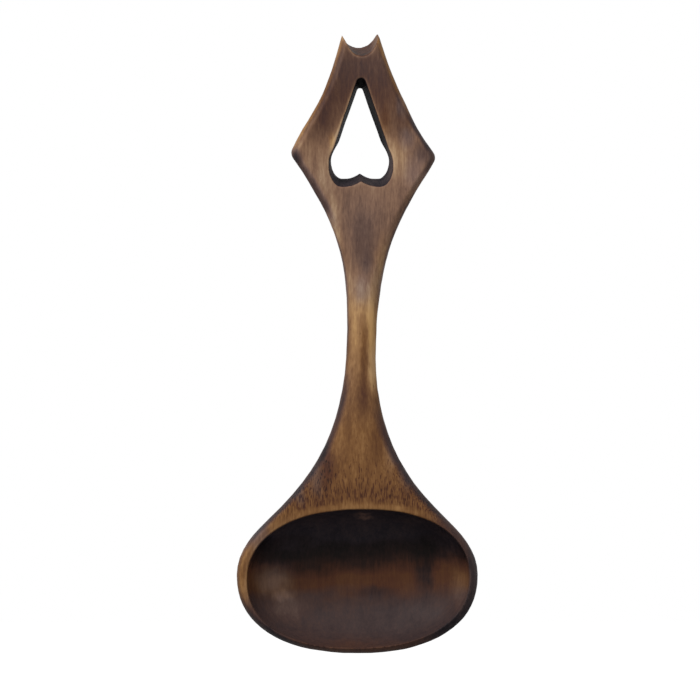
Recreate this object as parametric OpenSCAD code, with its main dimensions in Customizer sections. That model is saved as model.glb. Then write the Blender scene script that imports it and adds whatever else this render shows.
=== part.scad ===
// Carved wooden love spoon, one piece of hardwood: a wide oval bowl, a waisted
// stem, and a diamond head with a heart cut through it and two horns on top.
// Millimetres. X is to the right, Y into the wall that the flat back hangs on,
// Z up. The origin is where a nail under the top of the heart meets the wall.

/* [Bowl] */
// Width of the bowl across its widest line
bowl_w = 89; // [76:1:100]
// Height of the widest line above the bottom of the bowl
bowl_drop = 29; // [25:1:34]
// Squareness of the lower outline, 2 being a plain ellipse
bowl_square = 2.3; // [2:0.1:2.8]
// Distance of the rim in front of the wall
rim_stand = 23; // [21:0.5:27]
// Distance of the bowl's belly in front of the wall
belly_gap = 0.4; // [0.2:0.1:1.5]
// Distance of the bowl's widest line behind the rim
side_drop = 5.5; // [3:0.5:8]
// Width of the rounding outside the rim, on the left
rim_round_left = 1.6; // [1:0.1:3]
// Width of the rounding outside the rim, on the right
rim_round_right = 3.8; // [1:0.1:4.4]

/* [Hollow] */
// Width of the hollow at the rim
hollow_w = 82; // [60:1:83]
// Height of the hollow at the rim
hollow_h = 51; // [40:1:52]
// Depth of the hollow below the rim
hollow_deep = 17.5; // [10:0.5:18.5]
// Rim left below the hollow
rim_low = 2.2; // [1.6:0.1:4]
// Sideways offset of the hollow from the middle of the bowl
hollow_shift = 0.4; // [-1:0.1:1]
// Tilt of the hollow, right side up, in degrees
hollow_tilt = 1; // [0:0.5:2]
// Squareness of the rim line
hollow_square = 2.25; // [2:0.05:2.6]
// Fullness of the hollow towards its floor
hollow_full = 2.5; // [2:0.1:3]

/* [Neck and stem] */
// Height of the shoulder, where the outline turns, above the widest line
shoulder_rise = 25; // [22:1:29]
// Half-width of the blank at the shoulder
shoulder_half_w = 28.4; // [25:0.1:32]
// Height of the stem's waist above the shoulder
neck_len = 60.5; // [52:0.5:72]
// Thickness of the neck a third of the way up to the waist
neck_t = 12; // [10:0.5:14]
// Width of the stem at its waist
waist_w = 10.8; // [9:0.2:14]
// Thickness of the stem at its waist
waist_t = 9.4; // [8:0.2:12]
// Distance of the stem's front in front of the wall
waist_stand = 16.6; // [14:0.2:19]
// Radius of the rounded front of the neck
crown_r = 30; // [20:1:60]

/* [Head] */
// Height of the head's corners above the waist
handle_len = 69.5; // [60:0.5:80]
// Width of the diamond head between its unrounded corners
head_w = 54.4; // [46:0.2:60]
// Radius that rounds the corners
corner_r = 3.2; // [2:0.1:7]
// Thickness of the head
head_t = 12; // [9:0.5:14]
// Length of the flat back below the corners
back_flat = 34; // [20:1:44]
// Distance below the corners at which the front of the head turns into the neck
brow_drop = 16; // [13:0.5:24]
// Depth of the hollowed front of the head
dish_deep = 1.7; // [0.2:0.1:2.4]
// Width of the bevel round the front of the head
bevel_w = 2.8; // [1.5:0.1:4]
// Depth of that bevel
bevel_deep = 3; // [1.5:0.1:4]
// Radius of the edge round the flat back
back_edge = 1.5; // [0.5:0.1:2.5]

/* [Horns] */
// Height of the horn tips above the corners
horn_len = 45; // [38:0.5:52]
// Half-width of the head at the horn tips
horn_half_w = 6.7; // [5.5:0.1:8]
// Depth of the gouged notch between the horns, at the front
notch_front = 8.6; // [6:0.1:10]
// Depth of the notch at the back
notch_back = 4.5; // [3:0.1:6]
// Radius of the notch's floor at the front
notch_front_r = 4.6; // [3.5:0.1:5.5]
// Radius of the notch's floor at the back
notch_back_r = 6.6; // [5:0.1:7.5]
// Offset to the right of the notch's floor at the front
notch_front_shift = 0.8; // [-1:0.1:1]
// Offset to the right of the notch's floor at the back
notch_back_shift = -0.5; // [-1:0.1:1]

/* [Heart] */
// Width of the heart across its lobes, at the front
heart_w = 24; // [18:0.5:26]
// Height of the heart from the foot of its lobes to its point, at the front
heart_h = 41; // [34:0.5:43]
// Distance of the foot of the lobes below the head's corners
heart_foot = 12; // [9:0.5:14]
// Rise of the dip between the lobes
heart_cusp = 2; // [1:0.1:4]
// Height above the foot at which the heart's straight sides end
heart_hip_h = 14; // [12:0.5:16]
// How far in from the lobes the straight sides end, at the front
heart_hip_front = 1.4; // [0.8:0.1:2.5]
// How far in from the lobes they end, at the back
heart_hip_back = 3.1; // [1:0.1:4]
// Radius of the heart's point, at the front
heart_tip_r = 1.8; // [1.4:0.1:2.4]
// Reduction of that radius, from front to back
heart_tip_taper = 0.8; // [0:0.1:1]
// Slope inwards of the sides, from front to back
heart_draft = 1.3; // [0.2:0.1:1.8]
// Slope inwards of the foot and the point, from front to back
heart_sill = 3.7; // [0.5:0.1:4]
// Sideways offset of the front of the heart from its back
heart_shift = 0.5; // [0:0.1:1]

/* [Hand carving] */
// How far the bowl sits to the left of the nail
bowl_lean = 1; // [0:0.1:2]
// How far the neck under the head sits to the right of the nail
neck_lean = 1.9; // [0:0.1:2.5]
// How far the head between its corners and horns bows to the right
crest_lean = 0.5; // [0:0.1:1]
// How much lower the right corner of the head is than the left
corner_drop = 1.1; // [0:0.1:2]
// How much higher the right horn is than the left
horn_rise = 0.8; // [0:0.1:1.5]
// Shape of the carved edges, 1 being a flat bevel and 2 a full rounding
edge_shape = 1.6; // [1.2:0.1:2]

/* [Hidden] */

// Heights above the bottom of the bowl
widest_z = bowl_drop;
shoulder_z = widest_z + shoulder_rise;
neck_z = shoulder_z + neck_len / 3;
waist_z = shoulder_z + neck_len;
corner_z = waist_z + handle_len;
horn_z = corner_z + horn_len;
wall_z = corner_z - back_flat;
brow_z = corner_z - brow_drop;
hollow_z = rim_low + hollow_h / 2;
heart_foot_z = corner_z - heart_foot;
nail_z = heart_foot_z + heart_h - heart_sill;
crest_z = (corner_z + horn_z) / 2;

// Heights at which the bowl's section has become the stem's, and at which the
// stem's starts to become the head's, in front and behind
stem_z = mix(neck_z, waist_z, 0.3);
stem_end_z = mix(waist_z, brow_z, 0.4);
head_start_z = mix(waist_z, wall_z, 0.3);
// Share of the dish in the head's front that is gone at the horns
dish_fade = 0.7;
// Most of a section's half-width that its front edge and its belly may take
edge_most = 0.95;
belly_most = 0.97;
// Height at which the lean of the neck starts, and its fading round the corners
lean_z = mix(waist_z, shoulder_z, 0.5);
lean_fade = [corner_z - 8, corner_z + 12];

// Steps of the carved surface, across each part of its section
FACE_STEPS = 5;
EDGE_STEPS = 4;
BACK_STEPS = 10;
// Steps along each curve of the outline, and round the lower half of the bowl
BOWL_STEPS = 9;
FLARE_STEPS = 12;
NECK_STEPS = 16;
CORNER_STEPS = 5;
CREST_STEPS = 12;
ROUND_STEPS = 36;
// Steps of the hollow, round and down
HOLLOW_STEPS = 72;
HOLLOW_LAYERS = 12;
// Steps of each curve of the heart and the notch
CUT_STEPS = 6;

// Half the height of the narrow flat left along the widest line
side_band = 0.4;
// How far a cut starts in front of the wood and ends behind it
overcut = 2;

// Blends and curves
function mix(a, b, t) = a + (b - a) * t;
function ease(t) = let (c = max(0, min(1, t))) c * c * (3 - 2 * c);
function ramp(z, low, high) = ease((z - low) / (high - low));
function squarish(a, n) = sign(a) * pow(abs(a), 2 / n);
function bezier(p, t) =
    let (u = 1 - t)
    u * u * u * p[0] + 3 * u * u * t * p[1] + 3 * u * t * t * p[2] + t * t * t * p[3];

// A smooth curve from a to b, each a height, a value and a slope
function glide(a, b, z) =
    let (
        len = b[0] - a[0],
        t = max(0, min(1, (z - a[0]) / len)),
        near = (1 + 2 * t) * (1 - t) * (1 - t),
        near_slope = t * (1 - t) * (1 - t),
        far_slope = t * t * (t - 1)
    )
    near * a[1] + (1 - near) * b[1] + len * (near_slope * a[2] + far_slope * b[2]);

// The outline above the widest line, as four curves of half-width and height.
// Each curve's handles reach along it by two shares of its height.
bowl_reach = [0.4, 0.32];
flare_reach = [0.28, 0.4];
neck_reach = [0.49, 0.345];
crest_reach = [0.46, 0.46];
shoulder_below = [1, -1];
corner_below = [0.65, 1];
corner_above = [-0.6, 1];
horn_below = [0.3, -1];
shoulder_at = [shoulder_half_w, shoulder_z];
corner_at = [head_w / 2, corner_z];
horn_at = [horn_half_w, horn_z];
bowl_curve = [
    [bowl_w / 2, widest_z],
    [bowl_w / 2, widest_z + bowl_reach[0] * shoulder_rise],
    shoulder_at + bowl_reach[1] * shoulder_rise * shoulder_below,
    shoulder_at
];
flare_curve = [
    shoulder_at,
    shoulder_at - flare_reach[0] * neck_len * shoulder_below,
    [waist_w / 2, waist_z - flare_reach[1] * neck_len],
    [waist_w / 2, waist_z]
];
neck_curve = [
    [waist_w / 2, waist_z],
    [waist_w / 2, waist_z + neck_reach[0] * handle_len],
    corner_at - neck_reach[1] * handle_len * corner_below,
    corner_at
];
crest_curve = [
    corner_at,
    corner_at + crest_reach[0] * horn_len * corner_above,
    horn_at + crest_reach[1] * horn_len * horn_below,
    horn_at
];

// The corner's rounding, which starts and ends a little way from its sharp
// point, with handles that come near enough to it for an arc
corner_reach = 0.6;
corner_turn = (atan(corner_below[0]) - atan(corner_above[0])) / 2;
corner_cut = corner_r * tan(corner_turn);
neck_end = 1 - corner_cut / norm(3 * (neck_curve[3] - neck_curve[2]));
crest_start = corner_cut / norm(3 * (crest_curve[1] - crest_curve[0]));
corner_curve = [
    bezier(neck_curve, neck_end),
    mix(bezier(neck_curve, neck_end), corner_at, corner_reach),
    mix(bezier(crest_curve, crest_start), corner_at, corner_reach),
    bezier(crest_curve, crest_start)
];

stations = concat(
    [for (k = [0:BOWL_STEPS - 1]) bezier(bowl_curve, k / BOWL_STEPS)],
    [for (k = [0:FLARE_STEPS - 1]) bezier(flare_curve, k / FLARE_STEPS)],
    [for (k = [0:NECK_STEPS - 1]) bezier(neck_curve, neck_end * k / NECK_STEPS)],
    [for (k = [0:CORNER_STEPS - 1]) bezier(corner_curve, k / CORNER_STEPS)],
    [for (k = [0:CREST_STEPS]) bezier(crest_curve, mix(crest_start, 1, k / CREST_STEPS))],
    [horn_at - overcut * horn_below]
);

// The side view, as the depth of the wood's front and back at a height
neck_back = neck_t + front_at(neck_z);
waist_back = waist_t - waist_stand;
neck_slope = (waist_back + belly_gap) / (waist_z - widest_z);
waist_slope = -neck_back / (wall_z - neck_z);

function front_at(z) =
    let (waist = [waist_z, -waist_stand, (rim_stand - head_t) / (brow_z - shoulder_z)])
    z < waist_z ? glide([shoulder_z, -rim_stand, 0], waist, z) : glide(waist, [brow_z, -head_t, 0], z);
function back_at(z) =
    let (
        neck = [neck_z, neck_back, neck_slope],
        waist = [waist_z, waist_back, waist_slope]
    )
    z < neck_z ? glide([widest_z, -belly_gap, 0], neck, z)
    : z < waist_z ? glide(neck, waist, z)
    : glide(waist, [wall_z, 0, 0], z);

// Half of a section, from the middle of its front round to the middle of its
// back, as distance from the middle line and depth. The bowl's section has a
// flat rim and an oval belly, the stem's is oval, and the head's has a hollowed
// front, a bevel and a flat back.
function half_section(half_w, z, rim_round) =
    let (
        handle = ramp(z, shoulder_z, stem_z),
        stem = handle * (1 - ramp(z, stem_end_z, brow_z)),
        head = ramp(z, head_start_z, wall_z),
        front = front_at(z),
        back = back_at(z),
        dish = dish_deep * ramp(z, wall_z, corner_z) * (1 - dish_fade * ramp(z, corner_z, horn_z)),
        side = mix(side_drop - rim_stand, (front + back) / 2, handle),
        side_front = mix(side - side_band, bevel_deep - head_t, head),
        side_back = mix(side + side_band, -back_edge, head),
        edge_w = min(mix(mix(rim_round, bevel_w, head), waist_w / 2, stem), edge_most * half_w),
        edge_n = mix(edge_shape, 2, stem),
        back_w = mix(belly_most * half_w, back_edge, head),
        face_w = half_w - edge_w,
        crown = stem * face_w * face_w / crown_r / 2,
        face = [for (k = [0:FACE_STEPS])
            let (u = k / FACE_STEPS)
            [u * face_w, front + dish * (1 - u * u) + crown * u * u]],
        edge = [for (k = [1:EDGE_STEPS])
            let (a = 90 * k / EDGE_STEPS)
            [face_w + edge_w * squarish(sin(a), edge_n),
             mix(side_front, front + crown, squarish(cos(a), edge_n))]],
        rear = [for (k = [0:BACK_STEPS])
            let (a = 90 * k / BACK_STEPS)
            [half_w - back_w * (1 - cos(a)), mix(side_back, back, sin(a))]]
    )
    concat(face, edge, rear, [[0, back]]);

// The hand carving's drift from true, as a move of each point
function settle(p) =
    let (
        bowl = 1 - ramp(p[2], widest_z, waist_z),
        neck = ramp(p[2], lean_z, brow_z) * (1 - ramp(p[2], lean_fade[0], lean_fade[1])),
        crest = ramp(p[2], corner_z, crest_z) * (1 - ramp(p[2], crest_z, horn_z)),
        corner = ramp(p[2], brow_z, corner_z) * (1 - ramp(p[2], corner_z, horn_z)),
        horn = ramp(p[2], corner_z, horn_z)
    )
    [
        p[0] - bowl_lean * bowl + neck_lean * neck + crest_lean * crest,
        p[1],
        p[2] + p[0] * (horn_rise / horn_half_w / 2 * horn - corner_drop / head_w * corner)
    ];

// Faces between two closed rings of points, which start at two indices
function ring_strip(row, next, count) =
    [for (k = [0:count - 1])
        let (m = (k + 1) % count)
        each [[row + k, next + k, row + m], [row + m, next + k, next + m]]];

// The solid piece before anything is cut into it: rings of points up from the
// widest line, and half-sections fanned round the lower half of the bowl. Where
// the outline slopes, the rounding outside the rim is wider across the section.
module blank() {
    top = len(stations) - 1;
    half = len(half_section(bowl_w / 2, widest_z, rim_round_left)) - 1;
    count = 2 * half;
    fan_start = len(stations) * count;
    rings = [for (k = [0:top])
        let (
            s = stations[k],
            run = stations[min(k + 1, top)] - stations[max(k - 1, 0)],
            stretch = norm(run) / run[1],
            right = half_section(s[0], s[1], rim_round_right * stretch),
            left = half_section(s[0], s[1], rim_round_left * stretch)
        )
        each concat(
            [for (i = [0:half]) [right[i][0], right[i][1], s[1]]],
            [for (i = [half - 1:-1:1]) [-left[i][0], left[i][1], s[1]]]
        )];
    fan = [for (k = [1:ROUND_STEPS - 1])
        let (
            a = 180 * k / ROUND_STEPS,
            out = [bowl_w / 2 * squarish(cos(a), bowl_square), -bowl_drop * squarish(sin(a), bowl_square)],
            h = half_section(norm(out), widest_z, mix(rim_round_right, rim_round_left, a / 180))
        )
        each [for (i = [1:half - 1])
            let (r = h[i][0] / norm(out))
            [r * out[0], h[i][1], widest_z + r * out[1]]]];
    function at(k, i) =
        i % half == 0 || k == 0 ? i
        : k == ROUND_STEPS ? count - i
        : fan_start + (k - 1) * (half - 1) + i - 1;
    polyhedron(
        points = [for (p = concat(rings, fan)) settle(p)],
        faces = concat(
            [for (k = [0:top - 1]) each ring_strip(k * count, (k + 1) * count, count)],
            [[for (k = [1:count]) fan_start - k]],
            [for (k = [0:ROUND_STEPS - 1], i = [0:half - 1])
                each concat(
                    i == 0 ? [] : [[at(k, i), at(k, i + 1), at(k + 1, i)]],
                    i == half - 1 ? [] : [[at(k + 1, i), at(k, i + 1), at(k + 1, i + 1)]]
                )]
        )
    );
}

// A cut from front to back, through rings of points that run clockwise as seen
// from the front
module cut(rings) {
    count = len(rings[0]);
    points = [for (ring = rings) each ring];
    polyhedron(
        points = points,
        faces = concat(
            [for (k = [0:len(rings) - 2]) each ring_strip(k * count, (k + 1) * count, count)],
            [[for (k = [0:count - 1]) k]],
            [[for (k = [1:count]) len(points) - k]]
        )
    );
}

// The hollow of the bowl, a superellipse that closes in towards its floor
function hollow_ring(scale, y) =
    [for (k = [0:HOLLOW_STEPS - 1])
        let (
            a = 360 * k / HOLLOW_STEPS,
            x = hollow_shift - scale * hollow_w / 2 * squarish(cos(a), hollow_square),
            rise = scale * hollow_h / 2 * squarish(sin(a), hollow_square)
        )
        settle([x, y, hollow_z + rise + x * tan(hollow_tilt)])];
module bowl_hollow() {
    cut(concat(
        [hollow_ring(1, -rim_stand - overcut)],
        [for (k = [0:HOLLOW_LAYERS - 1])
            let (a = 90 * k / (HOLLOW_LAYERS - 0.5))
            hollow_ring(squarish(cos(a), hollow_full), hollow_deep * squarish(sin(a), hollow_full) - rim_stand)]
    ));
}

// Positions of the front and back rings of a cut through the head, where 0 is
// the head's front and 1 its back
through = [-overcut / head_t, 1 + overcut / head_t];

// Where a lobe's foot turns up into its side, as shares of the half-width and
// height, and how far the handles of the curve above it reach
lobe_share = [0.6, 0.2];
hip_reach = 0.08;

// The right half of the heart at a depth, from its point down to its dip
function half_heart(k) =
    let (
        half_w = heart_w / 2 - heart_draft * k,
        foot = heart_foot_z + heart_sill * k,
        h = heart_h - 2 * heart_sill * k,
        tip_r = heart_tip_r - heart_tip_taper * k,
        tip = [0, foot + h - tip_r],
        hip = [half_w - mix(heart_hip_front, heart_hip_back, k), foot + heart_hip_h],
        away = hip - tip,
        tip_end = atan2(away[1], away[0]) + acos(tip_r / norm(away)),
        lobe_h = lobe_share[1] * h,
        lobe_x = lobe_share[0] * half_w,
        hip_curve = [
            hip,
            hip + hip_reach * away,
            [half_w, foot + lobe_h + hip_reach * h],
            [half_w, foot + lobe_h]
        ],
        dip_curve = [
            [lobe_x, foot],
            [lobe_x / 2, foot],
            [lobe_x / 5, foot + heart_cusp / 2],
            [0, foot + heart_cusp]
        ]
    )
    concat(
        [for (j = [0:CUT_STEPS])
            let (a = mix(90, tip_end, j / CUT_STEPS))
            tip + tip_r * [cos(a), sin(a)]],
        [for (j = [0:CUT_STEPS - 1]) bezier(hip_curve, j / CUT_STEPS)],
        [for (j = [0:CUT_STEPS - 1])
            let (a = 90 * j / CUT_STEPS)
            [mix(lobe_x, half_w, cos(a)), foot + lobe_h * (1 - sin(a))]],
        [for (j = [0:CUT_STEPS]) bezier(dip_curve, j / CUT_STEPS)]
    );
module heart_opening() {
    cut([for (k = through)
        let (half = half_heart(k), last = len(half) - 1)
        concat(
            [for (p = half) [p[0] + heart_shift * (1 - k), -head_t * (1 - k), p[1]]],
            [for (j = [last - 1:-1:1]) [heart_shift * (1 - k) - half[j][0], -head_t * (1 - k), half[j][1]]]
        )]);
}

// The notch between the horns: a gouged floor between two sides that lean out
function notch_ring(k) =
    let (
        r = mix(notch_front_r, notch_back_r, k),
        x = mix(notch_front_shift, notch_back_shift, k),
        y = -head_t * (1 - k),
        floor_z = horn_z - mix(notch_front, notch_back, k),
        spread = 60,
        side_x = r * sin(spread),
        side_z = floor_z + r * (1 - cos(spread)),
        top_z = horn_z + 2 * overcut,
        top_x = side_x + (top_z - side_z) / tan(spread)
    )
    concat(
        [[x - top_x, y, top_z], [x + top_x, y, top_z]],
        [for (j = [-CUT_STEPS:CUT_STEPS])
            let (a = -spread * j / CUT_STEPS)
            [x + r * sin(a), y, floor_z + r * (1 - cos(a))]]
    );
module horn_notch() {
    cut([for (k = through) notch_ring(k)]);
}

module carved_spoon() {
    color("#5b3d2b") translate([0, 0, -nail_z]) difference() {
        blank();
        bowl_hollow();
        heart_opening();
        horn_notch();
    }
}

carved_spoon();
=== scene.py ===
import math

import bpy
import numpy as np
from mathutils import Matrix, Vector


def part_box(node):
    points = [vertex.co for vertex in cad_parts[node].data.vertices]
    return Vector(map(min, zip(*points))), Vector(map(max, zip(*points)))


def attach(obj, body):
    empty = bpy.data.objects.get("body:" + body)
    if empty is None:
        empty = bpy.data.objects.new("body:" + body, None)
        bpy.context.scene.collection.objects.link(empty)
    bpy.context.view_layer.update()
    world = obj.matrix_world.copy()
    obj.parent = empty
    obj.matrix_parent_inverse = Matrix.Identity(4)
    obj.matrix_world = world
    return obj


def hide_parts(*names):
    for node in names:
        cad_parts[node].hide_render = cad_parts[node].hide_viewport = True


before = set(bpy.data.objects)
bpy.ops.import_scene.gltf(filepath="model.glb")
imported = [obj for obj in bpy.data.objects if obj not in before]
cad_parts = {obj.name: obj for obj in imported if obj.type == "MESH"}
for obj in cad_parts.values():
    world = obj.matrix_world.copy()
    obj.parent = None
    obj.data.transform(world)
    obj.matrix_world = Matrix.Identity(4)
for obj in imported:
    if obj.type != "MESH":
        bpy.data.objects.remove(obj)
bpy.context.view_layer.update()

# The spoon itself, from bowl to horns: one billet of close-grained hardwood,
# sawn to its outline, hollowed with a bent gouge and rounded with a knife, with
# the heart cut through its head. Handling has rounded every edge a little.
MM = 0.001
NODE = "carved_spoon"
MERGED_WITHIN = 0.01 * MM
MESH_STEP = 0.35 * MM
ROUNDING_SHARE = 0.5
HAND_ROUNDING_STEPS = 7
spoon_low, spoon_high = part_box(NODE)


def choose(piece):
    """Makes a piece the only one selected, and the active one."""
    bpy.ops.object.select_all(action="DESELECT")
    piece.select_set(True)
    bpy.context.view_layer.objects.active = piece


def finish_with(piece, kind, **settings):
    """Gives a piece a modifier with its settings and applies it."""
    choose(piece)
    modifier = piece.modifiers.new(kind.title(), kind)
    for name, value in settings.items():
        setattr(modifier, name, value)
    bpy.ops.object.modifier_apply(modifier=modifier.name)


def read_points(mesh, value):
    """A value of each of a mesh's points, such as its place, as rows of an array."""
    rows = np.empty(len(mesh.vertices) * 3)
    mesh.vertices.foreach_get(value, rows)
    return rows.reshape(-1, 3)


spoon = bpy.data.objects.new("love_spoon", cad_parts[NODE].data.copy())
bpy.context.scene.collection.objects.link(spoon)
spoon.data.materials.clear()
choose(spoon)
bpy.ops.object.mode_set(mode="EDIT")
bpy.ops.mesh.select_all(action="SELECT")
bpy.ops.mesh.remove_doubles(threshold=MERGED_WITHIN)
bpy.ops.object.mode_set(mode="OBJECT")
finish_with(spoon, "REMESH", mode="VOXEL", voxel_size=MESH_STEP, adaptivity=0.0)
finish_with(spoon, "SMOOTH", factor=ROUNDING_SHARE, iterations=HAND_ROUNDING_STEPS)

# The wear on its edges: how far each point stands out of a rubbed-down copy, as
# a share of a proud edge's height. Below 0 it lies in a corner.
RUBBING_STEPS = 50
PROUD_EDGE = 0.3 * MM
rubbed = bpy.data.objects.new("rubbed", spoon.data.copy())
bpy.context.scene.collection.objects.link(rubbed)
finish_with(rubbed, "SMOOTH", factor=ROUNDING_SHARE, iterations=RUBBING_STEPS)
places = read_points(spoon.data, "co")
facing = read_points(spoon.data, "normal")
edge_wear = ((places - read_points(rubbed.data, "co")) * facing).sum(axis=1) / PROUD_EDGE
bpy.data.objects.remove(rubbed)

# Each point's place in millimetres, across the spoon and up from its bottom, and
# how far it faces the wall, from -1 in front to 1 behind
x_mm = places[:, 0] / MM
height_mm = (places[:, 2] - spoon_low.z) / MM
to_wall = facing[:, 1]

# The inside of the bowl: all that faces forward within the line of its mouth,
# which is a superellipse on which the reach is 1
MOUTH_MIDDLE = (-0.6, 27.7)
MOUTH_HALF = (41.0, 25.5)
MOUTH_SQUARE = 2.25
MOUTH_TILT = math.tan(math.radians(1.0))
INSIDE_REACH = 0.97
OUTSIDE_REACH = 1.02


def rise(values, start, end):
    """The smooth rise of values from 0 at start to 1 at end."""
    share = np.clip((values - start) / (end - start), 0.0, 1.0)
    return share * share * (3 - 2 * share)


across = x_mm - MOUTH_MIDDLE[0]
up = height_mm - MOUTH_MIDDLE[1] - across * MOUTH_TILT
reach = np.abs(across / MOUTH_HALF[0]) ** MOUTH_SQUARE + np.abs(up / MOUTH_HALF[1]) ** MOUTH_SQUARE
inside_bowl = rise(reach, OUTSIDE_REACH, INSIDE_REACH) * rise(to_wall, 0.3, 0.1)

# The lip that the gouge leaves round the mouth, which is wiped nearly bare and
# carries a painted highlight where it rounds over towards the light above and
# to the left: how wide it is, and where it fades towards the bottom and the right
LIP_REACHES = (1.28, 1.16)
LIP_HEIGHTS = (32.0, 44.0)
LIP_RIGHT = (34.0, 20.0)
lip_wear_and_highlight = (
    rise(reach, *LIP_REACHES) * rise(reach, INSIDE_REACH, OUTSIDE_REACH)
    * rise(height_mm, *LIP_HEIGHTS) * rise(x_mm, *LIP_RIGHT) * rise(to_wall, 0.3, 0.0))

# The heart's walls: all that faces sideways, up or down within its outline, with
# some room to spare
HEART_FOOT = 170.0
HEART_LOBES = 182.0
HEART_TOP = 214.5
HEART_MIDDLE = 0.45
HEART_HALF = 12.3
HEART_TAPER = 0.4
WALL_ROOM = (4.0, 3.0)
heart_edge = HEART_HALF - HEART_TAPER * np.maximum(height_mm - HEART_LOBES, 0)
off_heart = np.abs(x_mm - HEART_MIDDLE) - heart_edge
heart_wall = (
    rise(off_heart, *WALL_ROOM) * rise(np.abs(to_wall), 0.8, 0.55)
    * rise(height_mm, HEART_FOOT, HEART_FOOT + 1.5) * rise(height_mm, HEART_TOP + 1, HEART_TOP))

# The edge in front of the heart's straight walls, which is worn and catches the
# light as a painted highlight, most on the left
RIM_OUTER = (2.4, 0.8)
RIM_INNER = (-0.6, 0.2)
RIM_LOWER = (184.0, 190.0)
RIM_UPPER = (214.0, 206.0)
RIM_RIGHT_SHARE = 0.45
heart_rim = (
    rise(off_heart, *RIM_OUTER) * rise(off_heart, *RIM_INNER) * rise(to_wall, 0.0, -0.5)
    * rise(height_mm, *RIM_LOWER) * rise(height_mm, *RIM_UPPER) * np.where(x_mm < 0, 1.0, RIM_RIGHT_SHARE))

# The rounded sides, darker and greyer in some places, which is stain with painted
# shade and painted sheen where they turn away from the light, and rubbed bare in
# others, where the upper sides of the head also take a painted highlight: 1 for
# the right side or -1 for the left, how far in it reaches, and the heights where
# it starts, is full, stops being full and ends, all in millimetres, and how dark
# it is, from 1 down to -1 for bare
SIDES = [
    (1, 8.5, 3.0, 9.0, 44.0, 54.0, 0.75), (1, 4.2, 44.0, 54.0, 78.0, 96.0, 1.0),
    (1, 1.2, 125.0, 135.0, 165.0, 175.0, 0.6), (1, 2.6, 172.0, 184.0, 194.0, 202.0, 1.0),
    (1, 2.0, 196.0, 205.0, 222.0, 230.0, -1.0),
    (-1, 7.0, 1.0, 5.0, 13.0, 24.0, 0.6), (-1, 3.2, 36.0, 48.0, 92.0, 110.0, 1.0),
    (-1, 1.0, 95.0, 120.0, 150.0, 160.0, 0.7), (-1, 3.8, 155.0, 166.0, 184.0, 188.0, 1.0),
    (-1, 1.8, 185.0, 192.0, 222.0, 230.0, -0.7),
]
SIDE_ROW = 0.5
SIDE_FULL_SHARE = 0.3
rows = (height_mm / SIDE_ROW).astype(int).clip(0)
shade_and_stain_on_sides = np.zeros(len(rows))
for side, width, from_none, from_full, to_full, to_none, darker_share in SIDES:
    outline = np.full(rows.max() + 1, -np.inf)
    np.maximum.at(outline, rows, x_mm * side)
    inward = np.interp(height_mm, (np.arange(len(outline)) + 0.5) * SIDE_ROW, outline) - x_mm * side
    here = rise(height_mm, from_none, from_full) * rise(height_mm, to_none, to_full)
    edge = rise(inward, width, width * SIDE_FULL_SHARE)
    shade_and_stain_on_sides += darker_share * edge * here * rise(to_wall, 0.3, -0.3)

# The finish reads all of these from the points of the mesh
for name, values in [
        ("edge_wear", edge_wear), ("inside_bowl", inside_bowl), ("lip_wear_and_highlight", lip_wear_and_highlight),
        ("heart_wall", heart_wall), ("heart_rim", heart_rim), ("shade_and_stain_on_sides", shade_and_stain_on_sides)]:
    stored = spoon.data.attributes.new(name, "FLOAT", "POINT")
    stored.data.foreach_set("value", np.clip(values, -1.0, 1.0))

# The finished piece needs fewer faces than its rounding did. Each face of it is
# still a quad, which counts as two triangles.
MOST_TRIANGLES = 190000
finish_with(spoon, "DECIMATE", ratio=MOST_TRIANGLES / (2 * len(spoon.data.polygons)))

# Knife and gouge marks that sanding has left: shallow waves in the surface
TOOL_MARKS = [("knife_marks", 9.0 * MM, 0.22 * MM), ("gouge_marks", 3.5 * MM, 0.06 * MM)]
for name, size, depth in TOOL_MARKS:
    texture = bpy.data.textures.new(name, "CLOUDS")
    texture.noise_scale = size
    texture.noise_depth = 0
    finish_with(spoon, "DISPLACE", texture=texture, texture_coords="LOCAL", strength=depth, mid_level=0.5)
choose(spoon)
bpy.ops.object.shade_smooth()
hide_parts(NODE)
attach(spoon, "root")

# Stained, waxed hardwood. How deep the stain and the painted shade lie, from 0 for
# bare golden wood to 1 for black, follows the height, the grain and the wear, and
# so does how cool it is, from 0 for brown to 1 for grey-violet: mostly a painted
# sheen, the grey of the wax where it reflects a white room. Wax gives a dull sheen.
WARM = [
    (0.0, "#b28a58"), (0.08, "#a6804f"), (0.25, "#88643e"), (0.42, "#6b492a"), (0.55, "#573820"),
    (0.70, "#47291b"), (0.85, "#29170f"), (1.0, "#120c09"),
]
COOL = [
    (0.0, "#a39080"), (0.20, "#816b5c"), (0.32, "#6f574c"), (0.46, "#59463f"), (0.62, "#44332f"),
    (0.70, "#3a2e2d"), (0.88, "#201b20"), (1.0, "#0e0b0d"),
]
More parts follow.
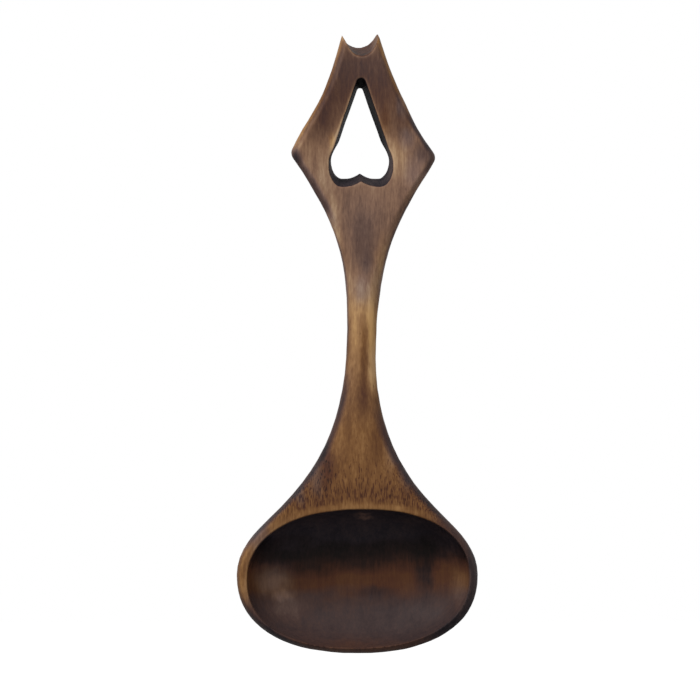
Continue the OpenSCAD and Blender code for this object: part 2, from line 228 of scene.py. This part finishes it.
# Up the outside of the spoon, as heights in millimetres: the stain, how cool it
# is, and how far its edges are rubbed. The grey-violet from the neck up, from
# 137 mm, is painted sheen.
OUTSIDE = [
    (0.0, 0.72, 0.6, 0.0), (12.0, 0.68, 0.4, 0.05), (24.0, 0.56, 0.3, 0.6), (46.0, 0.50, 0.1, 0.5),
    (52.0, 0.44, 0.0, 0.2), (60.0, 0.46, 0.0, 0.1), (72.0, 0.45, 0.0, 0.1), (82.0, 0.43, 0.0, 0.1),
    (94.0, 0.44, 0.15, 0.2), (104.0, 0.33, 0.15, 0.3), (116.0, 0.26, 0.1, 0.4), (126.0, 0.17, 0.2, 0.4),
    (137.0, 0.22, 0.6, 0.4), (146.0, 0.30, 0.6, 0.3), (158.0, 0.36, 0.7, 0.2), (168.0, 0.34, 0.7, 0.2),
    (176.0, 0.32, 0.7, 0.2), (186.0, 0.34, 0.6, 0.8), (197.0, 0.56, 0.5, 1.0), (206.0, 0.66, 0.5, 1.0),
    (218.0, 0.67, 0.8, 1.0), (224.0, 0.50, 0.6, 1.0), (230.0, 0.40, 0.5, 1.0),
]
# Up the inside of the bowl: the stain and how cool it is. The dark near the top
# is painted shade, where the hollow's upper wall faces down, away from the light,
# and the grey-violet below and above the brown band is painted sheen.
INSIDE = [
    (0.0, 0.72, 0.7), (8.0, 0.72, 0.9), (15.0, 0.69, 1.0), (20.0, 0.70, 0.8), (25.0, 0.67, 0.05),
    (28.5, 0.67, 0.0), (32.0, 0.80, 0.1), (36.0, 0.96, 0.3), (39.0, 0.96, 0.6), (43.0, 0.86, 1.0),
    (50.0, 0.84, 1.0), (56.0, 0.88, 1.0),
]
BACK_STAIN = 0.46
# Where hands, stain and tools have marked its front, and where light and shade
# are painted on it: the middle of each mark in millimetres to the right and up,
# its half-width and half-height, and what it adds to the stain and shade and to
# the coolness
MARKS = [
    # Head; the dark marks at its two corners, 24 and -23.5 mm across, are painted
    # shade where the corners turn away from the light
    (15.5, 203.0, 2.5, 8.0, -0.04, 0.7), (-13.5, 197.0, 3.0, 8.0, 0.14, 0.0),
    (9.5, 197.0, 3.0, 8.0, 0.08, -0.3), (17.5, 190.0, 4.5, 6.0, 0.0, 0.5),
    (-10.5, 189.0, 1.8, 5.0, -0.08, -0.3), (-19.0, 186.0, 5.0, 6.0, -0.04, 0.0),
    (24.0, 185.0, 4.5, 7.0, 0.26, 0.3), (-23.5, 183.5, 3.0, 4.0, 0.30, 0.2),
    (13.5, 182.0, 5.0, 11.0, -0.17, -0.1), (20.0, 178.0, 5.0, 10.0, 0.02, 0.3),
    (-13.0, 177.0, 4.5, 12.0, -0.16, 0.0),
    # Neck; the grey mark at 134 mm is a painted highlight, the sheen where the neck
    # faces the light
    (0.0, 164.0, 13.0, 12.0, 0.08, 0.1), (-9.5, 156.0, 3.5, 20.0, -0.26, -0.1),
    (1.4, 150.5, 7.8, 15.0, 0.15, 0.2), (8.0, 146.0, 3.0, 12.0, -0.06, -0.2),
    (2.0, 143.0, 3.6, 9.0, 0.08, 0.2), (0.5, 134.0, 4.0, 7.0, 0.03, 0.5),
    # Stem
    (4.2, 121.0, 2.6, 12.0, -0.20, -0.1), (-4.0, 116.0, 2.2, 13.0, 0.10, 0.1),
    (1.2, 111.0, 2.2, 18.0, 0.24, -0.1), (5.2, 106.0, 2.4, 13.0, -0.40, 0.1),
    (1.2, 94.0, 3.5, 13.0, 0.14, 0.0),
    # Flare; the grey marks towards its sides are painted sheen
    (6.5, 78.0, 3.5, 9.0, 0.10, 0.0), (13.0, 76.0, 3.0, 8.0, 0.0, 0.5),
    (11.5, 73.0, 3.5, 9.0, -0.12, 0.2), (-1.0, 72.0, 4.5, 12.0, -0.04, 0.0),
    (-12.0, 70.0, 4.5, 11.0, 0.32, 0.0), (17.0, 66.0, 3.0, 8.0, 0.0, 0.6),
    (-16.0, 64.0, 3.5, 8.0, 0.03, 0.6), (0.0, 59.0, 19.0, 4.0, 0.06, 0.0),
    (17.0, 59.0, 6.0, 4.0, 0.07, 0.0), (-22.0, 58.0, 3.0, 5.0, 0.05, 0.6),
    # Rim; the lighter left side and the darker, greyer right side are painted light
    # and painted shade and sheen
    (-37.0, 43.0, 6.0, 7.0, 0.10, 0.6), (43.5, 30.0, 5.0, 26.0, 0.04, 0.3),
    (-44.0, 29.0, 4.0, 17.0, -0.05, -0.3), (0.0, 3.0, 24.0, 3.0, -0.02, -0.2),
    # Hollow; the lighter marks on its right wall, at 33 and 37.5 mm, and the lighter
    # grey one on its left wall, at -32 mm, are painted light
    (1.5, 50.5, 5.0, 1.6, -0.30, 0.0), (33.0, 35.0, 7.0, 6.0, -0.14, 0.0),
    (24.0, 28.0, 5.0, 7.0, 0.16, 0.4), (-32.0, 27.0, 10.0, 8.0, -0.34, 0.8),
    (37.5, 25.0, 6.0, 12.0, -0.18, 0.2), (5.0, 22.0, 9.0, 3.5, 0.10, 0.3),
    (-28.0, 21.0, 6.0, 3.0, -0.18, 0.3), (-27.0, 17.0, 10.0, 8.0, -0.18, 0.1),
]


def linear(code):
    """An sRGB hex colour as the linear colour that a socket takes."""
    parts = [int(code[i:i + 2], 16) / 255 for i in (1, 3, 5)]
    return [c / 12.92 if c <= 0.04045 else ((c + 0.055) / 1.055) ** 2.4 for c in parts] + [1.0]


def add_node(tree, kind, inputs, output=0, stops=(), **settings):
    """Adds a node with its settings, inputs and colour stops, and gives one output."""
    made = tree.nodes.new("ShaderNode" + kind)
    for name, value in settings.items():
        setattr(made, name, value)
    for name, value in inputs.items():
        if isinstance(value, bpy.types.NodeSocket):
            tree.links.new(value, made.inputs[name])
        else:
            made.inputs[name].default_value = value
    for index, (place, colour) in enumerate(stops):
        elements = made.color_ramp.elements
        element = elements[index] if index < 2 else elements.new(place)
        element.position = place
        element.color = colour
    return made.outputs[output] if len(made.outputs) else made


wood = bpy.data.materials.new("stained_waxed_hardwood")
wood.use_nodes = True
tree = wood.node_tree
tree.nodes.clear()
place = add_node(tree, "TexCoord", {}, output="Object")
from_bottom = add_node(tree, "VectorMath", {0: place, 1: (0, 0, -spoon_low.z)}, operation="ADD")
in_mm = add_node(tree, "VectorMath", {0: from_bottom, "Scale": 1 / MM}, operation="SCALE")
right = add_node(tree, "SeparateXYZ", {0: in_mm}, output="X")
height = add_node(tree, "SeparateXYZ", {0: in_mm}, output="Z")
normal = add_node(tree, "NewGeometry", {}, output="Normal")
facing_back = add_node(tree, "SeparateXYZ", {0: normal}, output="Y")
facing_up = add_node(tree, "SeparateXYZ", {0: normal}, output="Z")
wear = add_node(tree, "Attribute", {}, output="Fac", attribute_name="edge_wear")
in_bowl = add_node(tree, "Attribute", {}, output="Fac", attribute_name="inside_bowl")
on_lip = add_node(tree, "Attribute", {}, output="Fac", attribute_name="lip_wear_and_highlight")
in_heart = add_node(tree, "Attribute", {}, output="Fac", attribute_name="heart_wall")
on_rim = add_node(tree, "Attribute", {}, output="Fac", attribute_name="heart_rim")
on_side = add_node(tree, "Attribute", {}, output="Fac", attribute_name="shade_and_stain_on_sides")

# The stain, painted shade and painted sheen by height, which are wavy in the
# bowl because the stain was wiped on by hand
WIPED = (18.0, 18.0, 9.0)
WAVE = 2.5
wiped = add_node(tree, "VectorMath", {0: in_mm, 1: WIPED}, operation="DIVIDE")
waves = add_node(tree, "TexNoise", {"Vector": wiped, "Scale": 1.0, "Detail": 2.0})
waves = add_node(tree, "MapRange", {"Value": waves, 1: 0.3, 2: 0.7, "To Min": -WAVE, "To Max": WAVE})
wavy_height = add_node(tree, "Math", {0: height, 1: waves}, operation="ADD")
outside_top = OUTSIDE[-1][0]
inside_top = INSIDE[-1][0]
outer_height = add_node(tree, "Math", {0: height, 1: outside_top}, operation="DIVIDE")
inner_height = add_node(tree, "Math", {0: wavy_height, 1: inside_top}, operation="DIVIDE")
outer = add_node(
    tree, "ValToRGB", {0: outer_height}, stops=[(h / outside_top, (s, c, w, 1)) for h, s, c, w in OUTSIDE])
inner = add_node(
    tree, "ValToRGB", {0: inner_height}, stops=[(h / inside_top, (s, c, 0, 1)) for h, s, c in INSIDE])
both = add_node(tree, "Mix", {0: in_bowl, 6: outer, 7: inner}, output=2, data_type="RGBA")
stain_and_shade = add_node(tree, "SeparateColor", {0: both}, output="Red")
cool = add_node(tree, "SeparateColor", {0: both}, output="Green")
rubbed_here = add_node(tree, "SeparateColor", {0: both}, output="Blue")

# The marks, which only its front has, with outlines that are ragged by up to 1.5
# mm across and 3 mm along the fibres
RAGS = (3.0, 3.0, 9.0)
SHIFT = (1.5, 0.0, 3.0)
in_rags = add_node(tree, "VectorMath", {0: in_mm, 1: RAGS}, operation="DIVIDE")
shaken = add_node(tree, "TexNoise", {"Vector": in_rags, "Scale": 1.0, "Detail": 2.0}, output="Color")
flat = add_node(tree, "CombineXYZ", {"X": right, "Z": height})
twice_shift = tuple(2 * part for part in SHIFT)
flat = add_node(tree, "VectorMath", {0: shaken, 1: twice_shift, 2: flat}, operation="MULTIPLY_ADD")
flat = add_node(tree, "VectorMath", {0: flat, 1: SHIFT}, operation="SUBTRACT")
in_front = add_node(tree, "MapRange", {"Value": facing_back, 1: 0.3, 2: -0.1})
for x, z, half_width, half_height, more_stain_and_shade, more_cool in MARKS:
    away = add_node(tree, "VectorMath", {0: flat, 1: (x, 0, z)}, operation="SUBTRACT")
    halves = add_node(tree, "VectorMath", {0: away, 1: (half_width, 1, half_height)}, operation="DIVIDE")
    off = add_node(tree, "VectorMath", {0: halves}, output="Value", operation="LENGTH")
    near = add_node(tree, "MapRange", {"Value": off, 1: 1.1, 2: 0.1}, interpolation_type="SMOOTHSTEP")
    near = add_node(tree, "Math", {0: near, 1: in_front}, operation="MULTIPLY")
    stain_and_shade = add_node(tree, "Math", {0: near, 1: more_stain_and_shade, 2: stain_and_shade}, operation="MULTIPLY_ADD")
    cool = add_node(tree, "Math", {0: near, 1: more_cool, 2: cool}, operation="MULTIPLY_ADD")
behind = add_node(tree, "MapRange", {"Value": facing_back, 1: 0.1, 2: 0.6})
stain_and_shade = add_node(tree, "Mix", {0: behind, 2: stain_and_shade, 3: BACK_STAIN})

# The grain, as its size across and along the fibres in millimetres, its detail
# and how much stain it adds or takes. Real fibres are 0.03 mm across, too fine
# to show, so the finest grain is drawn ten times as coarse. Food and washing
# have softened it in the bowl.
GRAIN = [
    ("mottle", 14.0, 22.0, 3.0, 0.16), ("streaks", 2.0, 36.0, 3.0, 0.14), ("flecks", 0.8, 2.4, 3.0, 0.12),
    ("fibres", 0.34, 6.0, 2.0, 0.11),
]
GRAIN_IN_BOWL = 0.55
grain = {}
grain_share = add_node(tree, "MapRange", {"Value": in_bowl, 3: 1.0, 4: GRAIN_IN_BOWL})
for name, width, length, detail, weight in GRAIN:
    sized = add_node(tree, "VectorMath", {0: in_mm, 1: (width, width, length)}, operation="DIVIDE")
    pattern = add_node(tree, "TexNoise", {"Vector": sized, "Scale": 1.0, "Detail": detail})
    grain[name] = add_node(
        tree, "MapRange", {"Value": pattern, "To Min": -weight, "To Max": weight}, clamp=False)
    stain_and_shade = add_node(tree, "Math", {0: grain[name], 1: grain_share, 2: stain_and_shade}, operation="MULTIPLY_ADD")

# Dark pores, as short dashes 1 to 3 mm long, which crowd just above the bowl,
# where the cut dives across the fibres, and thin out upwards
PORE = (0.4, 0.4, 2.8)
PORE_HEIGHTS = (58.0, 78.0)
MANY_PORES = 0.12
FEW_PORES = -0.14
NO_PORES_BELOW = (52.0, 46.0)
spots = add_node(tree, "VectorMath", {0: in_mm, 1: PORE}, operation="DIVIDE")
spots = add_node(tree, "TexNoise", {"Vector": spots, "Scale": 1.0, "Detail": 1.0})
crowd = add_node(
    tree, "MapRange",
    {"Value": height, 1: PORE_HEIGHTS[0], 2: PORE_HEIGHTS[1], 3: MANY_PORES, 4: FEW_PORES})
spots = add_node(tree, "Math", {0: spots, 1: crowd}, operation="ADD")
pores = add_node(tree, "MapRange", {"Value": spots, 1: 0.60, 2: 0.70})
lower_down = add_node(tree, "MapRange", {"Value": height, 1: NO_PORES_BELOW[0], 2: NO_PORES_BELOW[1]})
smooth = in_bowl
for also in (on_lip, lower_down, behind):
    smooth = add_node(tree, "Math", {0: smooth, 1: also}, operation="MAXIMUM")
pores = add_node(tree, "Mix", {0: smooth, 2: pores, 3: 0.0})

# The notch between the horns, where the stain has run together, the sides with
# their painted shade and sheen as far as they lie outside the bowl, and the
# corners, where stain has gathered
NOTCH_HEIGHTS = (214.0, 217.0)
in_notch = add_node(tree, "MapRange", {"Value": facing_up, 1: 0.3, 2: 0.7})
near_top = add_node(tree, "MapRange", {"Value": height, 1: NOTCH_HEIGHTS[0], 2: NOTCH_HEIGHTS[1]})
in_notch = add_node(tree, "Math", {0: in_notch, 1: near_top}, operation="MULTIPLY")
sides = add_node(tree, "Mix", {0: in_bowl, 2: on_side, 3: 0.0})
corners = add_node(tree, "MapRange", {"Value": wear, 1: -0.1, 2: -0.7})

# Rubbed edges, in broken lines, lighter most on the left: wear, with a painted
# highlight where the light falls from the left
FULL_LEFT_OF = -2.0
LEAST_RIGHT_OF = 8.0
RIGHT_SHARE = 0.35
BROKEN_SHARE = 0.25
worn_and_lit = add_node(tree, "MapRange", {"Value": wear, 1: 0.15, 2: 0.8})
broken = add_node(
    tree, "MapRange", {"Value": grain["mottle"], 1: 0.05, 2: -0.04, 3: BROKEN_SHARE, 4: 1.0})
to_left = add_node(
    tree, "MapRange", {"Value": right, 1: FULL_LEFT_OF, 2: LEAST_RIGHT_OF, 3: 1.0, 4: RIGHT_SHARE})
for share in (broken, rubbed_here, to_left):
    worn_and_lit = add_node(tree, "Math", {0: worn_and_lit, 1: share}, operation="MULTIPLY")

# What each of these places adds to the stain and shade and to the coolness. On
# the sides this is painted shade and sheen as well as stain, on the lip, the rim
# and the rubbed edges the lightening is partly a painted highlight, and in the
# heart the coolness is painted sheen
for share, more_stain_and_shade, more_cool in [
        (sides, 0.28, 0.7), (in_notch, 0.25, -0.6), (pores, 0.25, 0.0), (on_lip, -0.08, 0.0),
        (on_rim, -0.24, 0.0), (worn_and_lit, -0.34, 0.0), (corners, 0.15, 0.0), (in_heart, 0.52, 0.8)]:
    stain_and_shade = add_node(tree, "Math", {0: share, 1: more_stain_and_shade, 2: stain_and_shade}, operation="MULTIPLY_ADD")
    cool = add_node(tree, "Math", {0: share, 1: more_cool, 2: cool}, operation="MULTIPLY_ADD")

# The finish: pores and fibres are slightly sunk, wax has filled some patches
# more than others, and next to none of it has come into the heart
ROUGHNESS = (0.49, 0.65)
GLOSS = 0.1
HEART_GLOSS = 0.015
SUNK = 0.12 * MM
warm_brown = add_node(tree, "ValToRGB", {0: stain_and_shade}, stops=[(s, linear(code)) for s, code in WARM])
cool_brown = add_node(tree, "ValToRGB", {0: stain_and_shade}, stops=[(s, linear(code)) for s, code in COOL])
colour = add_node(
    tree, "Mix", {0: cool, 6: warm_brown, 7: cool_brown}, output=2, data_type="RGBA")
pits = add_node(tree, "Math", {0: pores, 1: grain["fibres"]}, operation="ADD")
bump = add_node(tree, "Bump", {"Height": pits, "Strength": 0.5, "Distance": -SUNK})
roughness = add_node(
    tree, "MapRange", {"Value": grain["mottle"], 1: -0.06, 2: 0.06, 3: ROUGHNESS[0], 4: ROUGHNESS[1]})
waxed = add_node(tree, "MapRange", {"Value": in_heart, 3: GLOSS, 4: HEART_GLOSS})
finish = add_node(
    tree, "BsdfPrincipled",
    {"Base Color": colour, "Roughness": roughness, "Normal": bump, "IOR": 1.5, "Specular IOR Level": waxed})
add_node(tree, "OutputMaterial", {"Surface": finish})
spoon.data.materials.append(wood)

# The floor below the hung spoon: plain and pale, and it keeps the shadow. Seen
# straight on it's as white as the backdrop.
FLOOR_DROP = 35 * MM
FLOOR_HALF = 0.9
bpy.ops.mesh.primitive_plane_add(size=2 * FLOOR_HALF, location=(0, 0, spoon_low.z - FLOOR_DROP))
floor = bpy.context.active_object
floor.name = "floor"
plaster = bpy.data.materials.new("white_plaster")
plaster.use_nodes = True
tree = plaster.node_tree
tree.nodes.clear()
seen = add_node(tree, "LightPath", {}, output="Is Camera Ray")
plain = add_node(tree, "BsdfDiffuse", {"Color": linear("#b4b4b4")})
shaded = add_node(tree, "BsdfDiffuse", {"Color": linear("#9a9a9a")})
bright = add_node(tree, "Emission", {"Color": linear("#ffffff"), "Strength": 0.9})
lit = add_node(tree, "AddShader", {0: shaded, 1: bright})
shown = add_node(tree, "MixShader", {0: seen, 1: plain, 2: lit})
add_node(tree, "OutputMaterial", {"Surface": shown})
floor.data.materials.append(plaster)

# The white backdrop is the world, which lights the spoon less than it shows
AMBIENT = 0.32
world = bpy.data.worlds.new("backdrop")
bpy.context.scene.world = world
world.use_nodes = True
tree = world.node_tree
tree.nodes.clear()
clear_view = add_node(tree, "LightPath", {}, output="Is Camera Ray")
for kind in ("Is Glossy Ray", "Is Transmission Ray"):
    ray = add_node(tree, "LightPath", {}, output=kind)
    clear_view = add_node(tree, "Math", {0: clear_view, 1: ray}, operation="MAXIMUM")
strength = add_node(tree, "MapRange", {"Value": clear_view, 3: AMBIENT, 4: 1.0})
sky = add_node(tree, "Background", {"Color": linear("#ffffff"), "Strength": strength})
add_node(tree, "OutputWorld", {"Surface": sky})

# One large soft lamp above and in front, a little to the left, as the
# photograph's light falls, and a weak one from the right: the way to each from
# the spoon, its distance and size in metres, and its power in watts
middle = (spoon_low + spoon_high) / 2
LAMPS = [
    ("top_softbox", (-0.7, -0.8, 0.95), 0.9, 0.5, 9.0),
    ("right_fill", (1.0, -1.2, 0.1), 1.1, 0.5, 2.2),
]
for name, toward, distance, size, power in LAMPS:
    light = bpy.data.lights.new(name, "AREA")
    light.size = size
    light.energy = power
    lamp = bpy.data.objects.new(name, light)
    bpy.context.scene.collection.objects.link(lamp)
    away = middle.copy()
    away.x, away.y, away.z = toward
    away.normalize()
    lamp.location = middle + away * distance
    lamp.rotation_euler = away.to_track_quat("Z", "Y").to_euler()

# The camera looks straight at the spoon's front from 2 metres, and its frame is
# 259.1 mm high at the spoon, as measured from the length in the photograph
VIEW_DISTANCE = 2.0
VIEW_END = 20
FRAME_MM = 259.1
PHOTO_MIDDLE = (-3.67, -97.4)
camera_data = bpy.data.cameras.new("camera")
camera = bpy.data.objects.new("camera", camera_data)
bpy.context.scene.collection.objects.link(camera)
camera_data.lens = camera_data.sensor_width * VIEW_DISTANCE / (FRAME_MM * MM)
camera_data.clip_end = VIEW_END
camera.location = (PHOTO_MIDDLE[0] * MM, middle.y - VIEW_DISTANCE, PHOTO_MIDDLE[1] * MM)
camera.rotation_euler = (math.radians(90), 0, 0)
bpy.context.scene.camera = camera
bpy.context.scene.view_settings.view_transform = "Standard"
